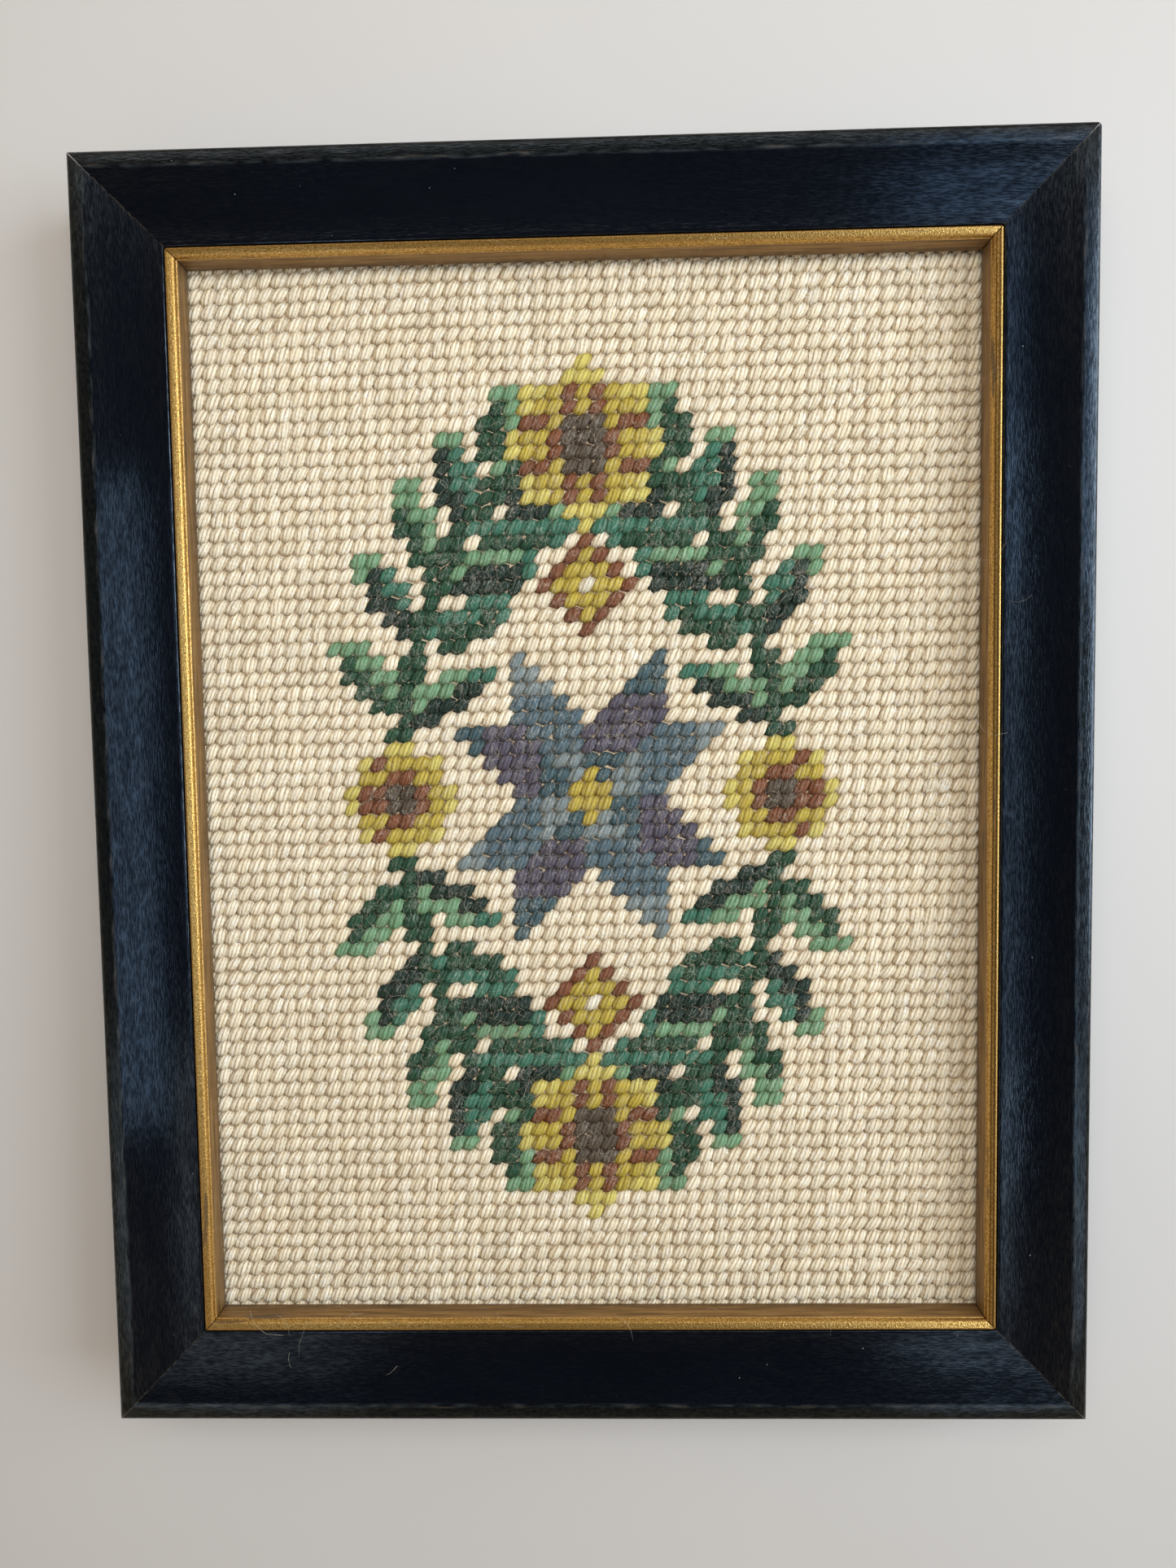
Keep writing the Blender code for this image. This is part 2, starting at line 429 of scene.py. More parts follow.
def gold_leaf():
    """Leaf that is grainy and bright on the nose, and brown and dull on the wall below it, with painted
    shade at its foot.
    """
    material, shader = start_finish("gold_leaf")
    place = add(material, "ShaderNodeAttribute", {"attribute_name": "rail_place"}).outputs["Vector"]
    mitre = add(material, "ShaderNodeAttribute", {"attribute_name": "to_mitre"}).outputs["Fac"]
    split = add(material, "ShaderNodeSeparateXYZ", Vector=place)
    height = split.outputs[2]

    speckle = grain(material, place, 3700.0)
    drag = grain(material, place, 1.0, 3.0, (90, 1300, 1300))
    cloud = grain(material, place, 1.0, 2.0, (60, 200, 200))
    bright = blend_colours(material, spread(material, speckle, 0.36, 0.66), *NOSE_TONES)
    brown = blend_colours(material, spread(material, drag, 0.35, 0.65), *WALL_TONES)
    on_nose = spread(material, height, NOSE_BASE - 0.1 * MM, NOSE_BASE + 0.2 * MM)
    # Painted shade: the wall darkens towards its foot, down by the cloth
    low = spread(material, height, SLIP_UNDERSIDE, SLIP_UNDERSIDE + 2.6 * MM, 0.50, 0.0)
    brown = blend_colours(material, low, brown, WALL_FOOT_SHADE)
    leaf = blend_colours(material, on_nose, brown, bright)

    # The right side is one quarter turn from the bottom, so it lies one shift along in the patterns
    right_side = calc(material, "COMPARE", split.outputs[0], SIDE_SHIFT)
    right_side.node.inputs[2].default_value = outer_height
    drift = spread(material, drag, 0.2, 0.8, -0.06 * MM, 0.06 * MM)
    wavy = calc(material, "ADD", split.outputs[1], drift)
    for line in LEAF_LINES:
        brown_line = spread(material, away_from(material, wavy, line), 0.13 * MM, 0.05 * MM, 0.0, 0.75)
        brown_line = calc(material, "MULTIPLY", brown_line, right_side)
        leaf = blend_colours(material, brown_line, leaf, LINE_BROWN)

    worn = calc(material, "MULTIPLY", drag, spread(material, cloud, 0.35, 0.75, 0.6, 1.2))
    worn = spread(material, worn, 0.60, 0.70)
    leaf = blend_colours(material, calc(material, "MULTIPLY", worn, 0.8), leaf, WORN_BROWN)
    seam = spread(material, mitre, 0.12 * MM, 0.03 * MM)
    leaf = blend_colours(material, seam, leaf, JOINT_BROWN)
    join(material, leaf, shader.inputs["Base Color"])

    dull = spread(material, speckle, 0.35, 0.65, 0.44, 0.29)
    join(material, spread(material, on_nose, 0.0, 1.0, 0.50, dull), shader.inputs["Roughness"])
    metal = calc(material, "SUBTRACT", spread(material, on_nose, 0.0, 1.0, 0.60, 0.95),
                 calc(material, "MULTIPLY", worn, 0.7))
    join(material, metal, shader.inputs["Metallic"])
    raise_by(material, shader, speckle, 0.07 * MM)
    return material


SLIP_CORNERS = (
    (SLIP_BACK_INSET, SLIP_UNDERSIDE),
    (SLIP_SIGHT_INSET, SLIP_UNDERSIDE),
    (SLIP_SIGHT_INSET, NOSE_BASE),
    (SLIP_SIGHT_INSET - NOSE_STEP, NOSE_BASE + NOSE_STEP),
    (SLIP_SIGHT_INSET - NOSE_STEP, SLIP_NOSE_TOP - NOSE_FALL),
    (SLIP_NOSE_INSET, SLIP_NOSE_TOP),
    (SLIP_NOSE_INSET, FLANGE_TOP),
    (SLIP_BACK_INSET, FLANGE_TOP),
)
SLIP_ROUNDED = (
    ((SLIP_SIGHT_INSET - NOSE_STEP, SLIP_NOSE_TOP - NOSE_FALL), NOSE_ROUND, 8),
    ((SLIP_NOSE_INSET, SLIP_NOSE_TOP), NOSE_ROUND, 8),
)
slip_finish = gold_leaf()

for side, span, reach, turns in SIDES:
    bm = mitred_strip(SLIP_CORNERS, SLIP_ROUNDED, span, turns, None)
    slip = place_strip(bm, "gilt_slip_" + side, span, reach, turns, (slip_finish,), lambda face: False)
    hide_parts("slip_" + side)
    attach(slip, "root")


# The backing board. A plain brown fibreboard, cut to the rebate, that closes the frame behind. Its
# shape is the solid's own, so it only gets its finish: pressed fibres with darker flecks.
BOARD_TONES = ((0.150, 0.088, 0.048), (0.275, 0.175, 0.105))
FLECK_BROWN = (0.07, 0.04, 0.02)


def fibreboard():
    material, shader = start_finish("fibreboard")
    place = add(material, "ShaderNodeTexCoord").outputs["Object"]
    fibres = grain(material, place, 900.0, 5.0, (1, 0.45, 1))
    flecks = spread(material, grain(material, place, 2600.0), 0.62, 0.74, 0.0, 0.6)
    brown = blend_colours(material, flecks, blend_colours(material, fibres, *BOARD_TONES), FLECK_BROWN)
    join(material, brown, shader.inputs["Base Color"])
    raise_by(material, shader, fibres, 0.08 * MM)
    shader.inputs["Roughness"].default_value = 0.8
    return material


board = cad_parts["backing_board"]
board.data.materials.clear()
board.data.materials.append(fibreboard())


# The canvas. Stiff cotton of ten threads to the inch, stretched flat between the slip and the board.
# The wool hides nearly all of it, and it only shows as brown shade at the bottom of the holes.
CANVAS_LOW, CANVAS_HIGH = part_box("worked_canvas")
CANVAS_WIDTH = CANVAS_HIGH.x - CANVAS_LOW.x
CANVAS_LENGTH = CANVAS_HIGH.y - CANVAS_LOW.y
CANVAS_FACE = CANVAS_LOW.z + 1.65 * MM
CANVAS_EASE = 0.15 * MM
COTTON_TONES = ((0.36, 0.26, 0.17), (0.58, 0.46, 0.32))
# One wave to every two threads. The Wave node makes ten waves a metre for each pi of its scale.
THREAD_WAVES = 19.7 * math.pi


def canvas_cotton():
    """The shade of the threads, held coarser than they are because next to none of it shows."""
    material, shader = start_finish("canvas_cotton")
    place = add(material, "ShaderNodeTexCoord").outputs["Object"]
    threads = []
    for way in ("X", "Y"):
        wave = add(material, "ShaderNodeTexWave", {"bands_direction": way, "wave_profile": "SIN"},
                   Vector=place, Scale=THREAD_WAVES, Distortion=1.5, Detail=1.0)
        threads.append(wave.outputs["Fac"])
    weave = calc(material, "MAXIMUM", *threads)
    join(material, blend_colours(material, weave, *COTTON_TONES), shader.inputs["Base Color"])
    raise_by(material, shader, weave, 0.3 * MM)
    shader.inputs["Roughness"].default_value = 0.95
    return material


bm = bmesh.new()
bmesh.ops.create_cube(bm, size=1.0)
bmesh.ops.scale(bm, vec=(CANVAS_WIDTH, CANVAS_LENGTH, CANVAS_FACE - CANVAS_LOW.z), verts=bm.verts)
bmesh.ops.translate(bm, vec=(0, 0, (CANVAS_FACE + CANVAS_LOW.z) / 2), verts=bm.verts)
bmesh.ops.bevel(bm, geom=bm.edges[:], offset=CANVAS_EASE, offset_type="OFFSET", segments=2,
                profile=0.5, affect="EDGES", material=-1)
mesh = bpy.data.meshes.new("canvas_ground")
bm.to_mesh(mesh)
bm.free()
mesh.materials.append(canvas_cotton())
canvas = put_in("canvas_ground", mesh)
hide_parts("worked_canvas")
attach(canvas, "root")


# The chart. The design is a plain sampler wreath of four rosettes, leafy stems and two lozenges
# round an eight-pointed star, the same in all four quarters. All its sizes are counted in stitches
# from the middle of the cloth.
STAR_ARM = 5
STAR_HEART = 2
STAR_RING = (3, 7)
WREATH_WIDE = 13.6
WREATH_TALL = 23.5
STEM_SHARE = 0.05
LEAF_LONG = 3.3
LEAF_WIDE = 1.45
LEAF_OFF = 3.1
LEAF_LEAN_DEG = 52
LEAF_ANGLES_DEG = (20, 34, 47, 59, 72)
# A leaf's tip starts at this share of its half length, and its shaded half this far from its middle
LEAF_TIP = 0.55
LEAF_VEIN = 0.1
# Across, up, radius and the radius of the dark middle
ROSETTES = (
    (0, 24.0, 5.6, 1.9),
    (13.6, 0, 4.3, 1.4),
)
PETALS = 8
# The outline as a share of the radius, how far petals stand out from it, and where their tips pale
PETAL_BASE = 0.94
PETAL_OUT = 0.08
PETAL_PALE = 0.72
# Width of the ring round the dark middle, and where petals part, in it and outside it
ROSETTE_RING = 1.1
RING_PART = 0.2
PETAL_PART = -0.55
LOZENGE_UP = 14.5
LOZENGE_HALF = 3.2
LOZENGE_HEART = 0.6
LOZENGE_EDGE = 1.2


def star_yarn(across, up):
    """An eight-pointed star of eight diamonds, light and dark by turns, with a darker ring."""
    major, minor = max(abs(across), abs(up)), min(abs(across), abs(up))
    if minor > STAR_ARM or major - minor > STAR_ARM:
        return None
    if major + minor <= STAR_HEART:
        return "olive_yellow"
    # A little off the middle, so that no stitch lies on the line between two diamonds
    side = int(math.atan2(up + 0.01, across + 0.02) / (math.pi / 4) % 8) % 2
    if STAR_RING[0] < major <= STAR_RING[1]:
        return ("mid_blue", "purple_slate")[side]
    return ("pale_slate", "teal_slate")[side]


def rosette_yarn(across, up):
    """A round flower of eight petals with a dark middle."""
    for middle_across, middle_up, radius, core in ROSETTES:
        over, above = abs(across) - middle_across, abs(up) - middle_up
        reach = math.hypot(over, above)
        petal = math.cos(PETALS * math.atan2(above, over))
        if reach > radius * (PETAL_BASE + PETAL_OUT * petal):
            continue
        if reach <= core:
            return "grey_brown"
        if reach <= core + ROSETTE_RING:
            return "red_brown" if petal < RING_PART else "olive_yellow"
        if petal < PETAL_PART:
            return "red_brown"
        return "olive_yellow" if reach < radius * PETAL_PALE else "pale_yellow"
    return None


def lozenge_yarn(across, up):
    """A small lozenge with a red-brown edge and a white stitch in its middle."""
    reach = abs(across) + abs(abs(up) - LOZENGE_UP)
    if reach > LOZENGE_HALF:
        return None
    if reach <= LOZENGE_HEART:
        return "off_white"
    return "olive_yellow" if reach <= LOZENGE_HALF - LOZENGE_EDGE else "red_brown"


def leaf_yarn(across, up):
    """Pairs of pointed leaves, leaning out and in from the wreath's stem."""
    for step, angle in enumerate(LEAF_ANGLES_DEG):
        turn = math.radians(angle)
        root = (WREATH_WIDE * math.cos(turn), WREATH_TALL * math.sin(turn))
        run = math.atan2(WREATH_TALL * math.cos(turn), -WREATH_WIDE * math.sin(turn))
        for side in (1, -1):
            lean = run - side * math.radians(LEAF_LEAN_DEG)
            out = run - side * math.pi / 2
            over = abs(across) - root[0] - LEAF_OFF * math.cos(out)
            above = abs(up) - root[1] - LEAF_OFF * math.sin(out)
            along = over * math.cos(lean) + above * math.sin(lean)
            aside = -over * math.sin(lean) + above * math.cos(lean)
            if (along / LEAF_LONG) ** 2 + (aside / LEAF_WIDE) ** 2 > 1:
                continue
            if along > LEAF_TIP * LEAF_LONG:
                return "light_green" if side > 0 else "teal_green"
            if aside * side > LEAF_VEIN:
                return "teal_green" if step % 2 else "light_green"
            return "dark_green" if (step + (side > 0)) % 2 else "deep_green"
    return None


def stem_yarn(across, up):
    """The oval stem that the leaves stand on."""
    out = math.hypot(across / WREATH_WIDE, up / WREATH_TALL)
    return "dark_green" if abs(out - 1) < STEM_SHARE else None


def yarn_for(across, up):
    """The yarn of the stitch at so many stitches across and up from the middle."""
    for motif in (star_yarn, rosette_yarn, lozenge_yarn, leaf_yarn, stem_yarn):
        yarn = motif(across, up)
        if yarn:
            return yarn
    return "ecru"


# The stitches. Tent stitch in tapestry wool: each is a strand of five plies that comes up at the lower
# left hole and goes down at the upper right one, and stands proud in its row like a short rope. Hand
# tension leaves them uneven in width, slant and height, and lets the rows wander a little.
STITCH_ACROSS = 2.534 * MM
STITCH_UP = 2.600 * MM
COLUMNS = 57
ROWS = 74
STITCH_LONG = 3.44 * MM
STITCH_SLANT_DEG = 54
PLIES = 5
PLY_APART = math.radians(44)
PLY_RADIUS = 0.46 * MM
PLY_ORBIT = 0.69 * MM
PLY_TWISTS = (0.75, 1.20)
PLY_SIDES = 4
PLY_CUTS = 3
BOW_POWER = 2.2
END_SHARE = 0.66
ROW_LEAN = 0.34
STITCH_FLATTEN = 0.68
STITCH_WIDEN = 1.12
AXIS_LOW = CANVAS_FACE - 0.15 * MM
STITCH_TOP = CANVAS_HIGH.z
AXIS_RISE = STITCH_TOP - AXIS_LOW - (PLY_RADIUS + PLY_ORBIT) * STITCH_FLATTEN
WINDINGS = 24
ROW_WANDER = 0.30 * MM
WANDER_WAVES = 31
# How much stitches differ: plies apart as shares of their spacing, the slant in degrees, the length,
# width and height as shares, and the place
PLY_STRAY = 0.10
SLANT_STRAY_DEG = 3.0
ROW_SLANT_DEG = 2.0
LONG_STRAY = 0.035
WIDE_STRAY = 0.075
WIDE_LIMITS = (0.82, 1.16)
TALL_MEAN = 0.95
TALL_STRAY = 0.05
TALL_LIMITS = (0.80, 1.04)
PLACE_STRAY = (0.07 * MM, 0.05 * MM)
# Yarn, and its colour as the eye sees it, out of 255
YARNS = {
    "ecru": (229, 218, 192),
    "off_white": (222, 216, 196),
    "olive_yellow": (178, 160, 66),
    "pale_yellow": (198, 187, 100),
    "red_brown": (116, 72, 46),
    "grey_brown": (82, 72, 60),
    "dark_green": (34, 70, 50),
    "deep_green": (24, 46, 38),
    "teal_green": (58, 108, 90),
    "light_green": (108, 148, 114),
    "teal_slate": (62, 86, 94),
    "purple_slate": (82, 79, 94),
    "pale_slate": (118, 132, 136),
    "mid_blue": (80, 101, 112),
}
PALE_YARNS = ("ecru", "off_white")
# How a yarn's red, green and blue are scaled: where the dye took least; where it took most, also used for
# the painted shade in the strand grooves and crossing lines; and the painted shade down between the
# stitches
DYE_LIGHT = (1.19, 1.20, 1.23)
DARK_DYE_AND_SHADE = (0.84, 0.79, 0.71)
SHADE_BETWEEN_STITCHES = (0.62, 0.48, 0.33)
# How far apart the plies lie in the pattern of the fibres, so that no two are alike
FIBRE_SHIFT = 57.0
# The two layers of stray hairs over the wool, each turned so far, at so many waves a metre, and how
# strong and how pale they are on the pale and on the other yarns
STRAY_LAYERS = ((0.5, 620.0), (1.7, 830.0))
STRAYS_ON_PALE = (0.65, 0.75)
STRAYS_ON_OTHERS = (0.46, 0.34)
SEED = 1977
dice = np.random.default_rng(SEED)


def as_light(seen):
    """A colour as light, from the colour as seen."""
    return tuple((part / 255) ** 2.2 for part in seen)


def wool(yarn):
    """Soft matt wool: fine fibres along each ply, uneven dye, and painted shade, browner down between the
    stitches.
    """
    material, shader = start_finish("wool_" + yarn)
    ply = add(material, "ShaderNodeUVMap", {"uv_map": "ply"}).outputs[0]
    tone = add(material, "ShaderNodeAttribute", {"attribute_name": "tone"}).outputs["Fac"]
    rise = add(material, "ShaderNodeAttribute", {"attribute_name": "rise"}).outputs["Fac"]
    crest = add(material, "ShaderNodeAttribute", {"attribute_name": "crest"}).outputs["Fac"]
    aside = calc(material, "MULTIPLY", tone, FIBRE_SHIFT)
    shift = add(material, "ShaderNodeCombineXYZ", i2=aside).outputs[0]
    place = add(material, "ShaderNodeVectorMath", {"operation": "ADD"}, i0=ply, i1=shift).outputs[0]

    fibres = grain(material, place, 1.0, 3.0, (1.4, 17.0, 1.0))
    colour = as_light(YARNS[yarn])
    light = tuple(min(1.0, part * share) for part, share in zip(colour, DYE_LIGHT))
    dark = tuple(part * share for part, share in zip(colour, DARK_DYE_AND_SHADE))
    deep = tuple(part * share for part, share in zip(colour, SHADE_BETWEEN_STITCHES))
    strands = add(material, "ShaderNodeTexWave", {"bands_direction": "Y", "wave_profile": "SIN"},
                  Vector=place, Scale=1.91, Distortion=1.2, Detail=1.0).outputs["Fac"]
    dyed = blend_colours(material, spread(material, fibres, 0.34, 0.60), dark, light)
    # Painted shade: darker bands round each ply where its strands part
    dyed = blend_colours(material, spread(material, strands, 0.40, 0.0, 0.0, 0.22), dyed, dark)
    # Painted shade: deeper and browner low down and on the plies' inner sides, between plies and stitches
    low_shade = calc(material, "MULTIPLY", spread(material, rise, 0.05, 0.70),
                spread(material, crest, -0.4, 0.5))
    dyed = blend_colours(material, low_shade, deep, dyed)
    shade = spread(material, tone, 0.1, 0.9, 0.86, 1.08)
    bright = add(material, "ShaderNodeVectorMath", {"operation": "SCALE"}, i0=dyed, Scale=shade).outputs[0]

    # A stray hair is where a curly noise passes its middle value
    own = add(material, "ShaderNodeTexCoord").outputs["Object"]
    strays = []
    for turn, waves in STRAY_LAYERS:
        turned = add(material, "ShaderNodeMapping", Vector=own, Rotation=(0.0, 0.0, turn),
                     Scale=(1, 0.55, 1)).outputs[0]
        curl = add(material, "ShaderNodeTexNoise", Vector=turned, Scale=waves, Detail=1.0,
                   Distortion=0.8).outputs["Fac"]
        here = spread(material, grain(material, turned, 260.0, 1.0), 0.42, 0.58)
        line = spread(material, away_from(material, curl, 0.5), 0.030, 0.006)
        strays.append(calc(material, "MULTIPLY", line, here))
    stray = calc(material, "MAXIMUM", *strays)
    stray_share, stray_pale = STRAYS_ON_PALE if yarn in PALE_YARNS else STRAYS_ON_OTHERS
    pale = tuple(part + (1.0 - part) * stray_pale * share
                 for part, share in zip(colour, (1.0, 0.95, 0.84)))
    bright = blend_colours(material, calc(material, "MULTIPLY", stray, stray_share), bright, pale)
    # Painted shadow lines: fine darker streaks across the plies
    crossed = add(material, "ShaderNodeMapping", Vector=own, Rotation=(0.0, 0.0, 2.6), Scale=(1, 0.4, 1))
    cross = grain(material, crossed.outputs[0], 2300.0)
    bright = blend_colours(material, spread(material, cross, 0.52, 0.68, 0.0, 0.40), bright, dark)
    join(material, bright, shader.inputs["Base Color"])
    raise_by(material, shader, fibres, 0.13 * MM)
    shader.inputs["Roughness"].default_value = 0.60
    shader.inputs["Subsurface Weight"].default_value = 0.30
    shader.inputs["Subsurface Scale"].default_value = 0.5 * MM
    shader.inputs["Subsurface Radius"].default_value = (1.0, 0.85, 0.60)
    shader.inputs["Sheen Weight"].default_value = 0.35
    shader.inputs["Sheen Roughness"].default_value = 0.4
    shader.inputs["Sheen Tint"].default_value = (*colour, 1.0)
    shader.inputs["Specular IOR Level"].default_value = 0.5
    return material


def points_of(mesh):
    flat = np.zeros(len(mesh.vertices) * 3, np.float32)
    mesh.vertices.foreach_get("co", flat)
    return flat.reshape(-1, 3)


def straight_tube(sides, cuts):
    """A tube one long and one in radius, cut into lengths that can bend."""
    bm = bmesh.new()
    bmesh.ops.create_cone(bm, cap_ends=True, segments=sides, radius1=1, radius2=1, depth=1)
    lengthwise = [edge for edge in bm.edges if abs(edge.verts[0].co.z - edge.verts[1].co.z) > 0.5]
    bmesh.ops.subdivide_edges(bm, edges=lengthwise, cuts=cuts, use_grid_fill=True)
    return bm


def straight_ply():
    """A tube with a point on its crest, and how far along and round it each corner is."""
    bm = straight_tube(PLY_SIDES, PLY_CUTS)
    layer = bm.loops.layers.uv.new("ply")
    for face in bm.faces:
        middle = face.calc_center_median()
        facing = math.atan2(middle.x, middle.y)
        for loop in face.loops:
            round_it = math.atan2(loop.vert.co.x, loop.vert.co.y) - facing
            round_it = (round_it + math.pi) % (2 * math.pi) - math.pi + facing
            loop[layer].uv = (loop.vert.co.z + 0.5, round_it / (2 * math.pi))
    return bm


def straight_stitch(bm):
    """As many straight plies as a stitch has, all in one mesh."""
    mesh = bpy.data.meshes.new("stitch")
    bm.to_mesh(mesh)
    for _ in range(PLIES - 1):
        bm.from_mesh(mesh)
    bm.to_mesh(mesh)
    bm.free()
    return mesh


def wound(flat):
    """The points of a stitch's plies, bowed up from hole to hole and wound round each other."""
    share = flat[:, 2] + 0.5
    number = np.arange(PLIES) - (PLIES - 1) / 2 + dice.uniform(-0.5, 0.5) + dice.normal(0, PLY_STRAY, PLIES)
    number = np.repeat(number, len(flat) // PLIES)
    turn = number * PLY_APART + dice.uniform(*PLY_TWISTS) * (share - 0.5)
    bow = 1 - np.abs(2 * share - 1) ** BOW_POWER
    thin = END_SHARE + (1 - END_SHARE) * bow
    left = PLY_ORBIT * np.sin(turn) + PLY_RADIUS * (flat[:, 0] * np.cos(turn) + flat[:, 1] * np.sin(turn))
    up = PLY_ORBIT * np.cos(turn) + PLY_RADIUS * (flat[:, 1] * np.cos(turn) - flat[:, 0] * np.sin(turn))
    return np.column_stack((
        STITCH_LONG * (share - 0.5),
        left * thin * STITCH_WIDEN,
        AXIS_LOW + AXIS_RISE * bow + up * thin * STITCH_FLATTEN,
    ))


def joined_copies(name, pattern, points, facts):
    """One mesh of many copies of a pattern mesh. points holds each copy's points, and facts its values."""
    copies, count = points.shape[0], points.shape[1]
    corners = np.zeros(len(pattern.loops), np.int32)
    pattern.loops.foreach_get("vertex_index", corners)
    starts = np.zeros(len(pattern.polygons), np.int32)
    pattern.polygons.foreach_get("loop_start", starts)
    round_it = np.zeros(len(pattern.loops) * 2, np.float32)
    pattern.uv_layers["ply"].data.foreach_get("uv", round_it)
    turn = np.arange(copies, dtype=np.int32)[:, None]
    mesh = bpy.data.meshes.new(name)
    mesh.vertices.add(copies * count)
    mesh.vertices.foreach_set("co", points.astype(np.float32).ravel())
    mesh.loops.add(copies * len(corners))
    mesh.loops.foreach_set("vertex_index", (corners[None] + turn * count).ravel())
    mesh.polygons.add(copies * len(starts))
    mesh.polygons.foreach_set("loop_start", (starts[None] + turn * len(corners)).ravel())
    mesh.uv_layers.new(name="ply").data.foreach_set("uv", np.tile(round_it, copies))
    for fact, values in facts.items():
        layer = mesh.attributes.new(fact, "FLOAT", "POINT")
        spread_out = np.broadcast_to(values, points.shape[:2])
        layer.data.foreach_set("value", spread_out.astype(np.float32).ravel())
    mesh.update(calc_edges=True)
    mesh.validate()
    mesh.shade_smooth()
    return mesh


def wander(across, up):
    """How far the rows and columns stray from straight at a place on the cloth."""
    pace, turn = WANDER_WAVES, 2 * math.pi
    stray_up = np.sin(across * pace + 1.1) + 0.6 * np.sin(across * 2.3 * pace + up * pace + 0.4)
    stray_across = np.sin(up * pace * 0.8 + 2.0) + 0.5 * np.sin(up * 2 * pace + across * pace)
    return ROW_WANDER * stray_across / turn * 2, ROW_WANDER * stray_up / turn * 3


stitch = straight_stitch(straight_ply())
straight = points_of(stitch)
wound_points = np.stack([wound(straight) for _ in range(WINDINGS)])
chart = {}
for row in range(ROWS):
    for column in range(COLUMNS):
        across, up = column - (COLUMNS - 1) / 2, (ROWS - 1) / 2 - row
        chart.setdefault(yarn_for(across, up), []).append((across, up))


def sewn(places):
    """The points of the stitches at these places, each a little different from its neighbours."""
    across, up = np.array(places, float).T * ((STITCH_ACROSS,), (STITCH_UP,))
    count = len(across)
    stray_across, stray_up = wander(across, up)
    row_mood = np.sin(up / STITCH_UP * 2.1) * 0.5 + np.sin(up / STITCH_UP * 0.7 + 1) * 0.5
    slant_deg = STITCH_SLANT_DEG + ROW_SLANT_DEG * row_mood + dice.normal(0, SLANT_STRAY_DEG, count)
    slant = np.radians(slant_deg)
    long = dice.normal(1.0, LONG_STRAY, count)
    wide = np.clip(dice.normal(1.0, WIDE_STRAY, count), *WIDE_LIMITS)
    tall = np.clip(dice.normal(TALL_MEAN, TALL_STRAY, count), *TALL_LIMITS)
    points = wound_points[dice.integers(0, WINDINGS, count)].copy()
    points[:, :, 0] *= long[:, None]
    points[:, :, 1] *= wide[:, None]
    points[:, :, 2] = AXIS_LOW + (points[:, :, 2] - AXIS_LOW) * tall[:, None]
    along, aside = points[:, :, 0].copy(), points[:, :, 1].copy()
    jog = dice.normal(0, PLACE_STRAY, (count, 2)).T
    points[:, :, 0] = along * np.cos(slant)[:, None] - aside + (across + stray_across + jog[0])[:, None]
    points[:, :, 1] = along * np.sin(slant)[:, None] + aside * ROW_LEAN + (up + stray_up + jog[1])[:, None]
    return points


ECRU_PARTS = 3
for yarn, places in chart.items():
    parts = ECRU_PARTS if yarn == "ecru" else 1
    finish = wool(yarn)
    for part in range(parts):
        here = places[part * len(places) // parts:(part + 1) * len(places) // parts]
        points = sewn(here)
        tone = dice.uniform(0, 1, (len(here), 1)) + dice.uniform(0, 1, (len(here), PLIES))
        facts = {
            "tone": np.repeat(tone / 2, len(straight) // PLIES, axis=1),
            "rise": (points[:, :, 2] - AXIS_LOW) / (STITCH_TOP - AXIS_LOW),
            "crest": straight[None, :, 1],
        }
        name = "stitches_" + yarn + (("_upper", "_middle", "_lower")[part] if parts > 1 else "")
        mesh = joined_copies(name, stitch, points, facts)
        mesh.materials.append(finish)
        stitches = put_in(name, mesh)
        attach(stitches, "root")
bpy.data.meshes.remove(stitch)


# The fuzz. Single wool hairs that have worked loose from the plies, thickest over the dark yarns, and
# a few long ones that have drifted on to the slip and the rails. Each is thin and bends lazily.
HAIR_RADIUS = 0.010 * MM
HAIR_SIDES = 3
HAIR_CUTS = 2
# Hairs to a stitch, how far they start from it and how far inside the slip they keep
HAIRS_ON_PALE = 1.1
HAIRS_ON_OTHERS = 6.0
HAIR_STRAY = 0.8 * MM
HAIR_MARGIN = 2.5 * MM
# Shape and scale of the hairs' lengths, and their limits, their bend and how far below the stitches'
# crests they start, in millimetres
HAIR_LENGTHS = (2.2, 0.75 * MM)
HAIR_LIMITS = (0.7 * MM, 6.0 * MM)
HAIR_BEND = 1.6
HAIR_START = (-0.45, -0.02)
# How far a hair rises in its middle, as a share of its length, and its limits
HAIR_RISE = (0.14, 0.12)
RISE_LIMITS = (0.02, 0.6)
DRIFTED_RISE = 0.30 * MM
HAIR_TONES = {"pale": (236, 226, 204), "dull": (168, 156, 132)}
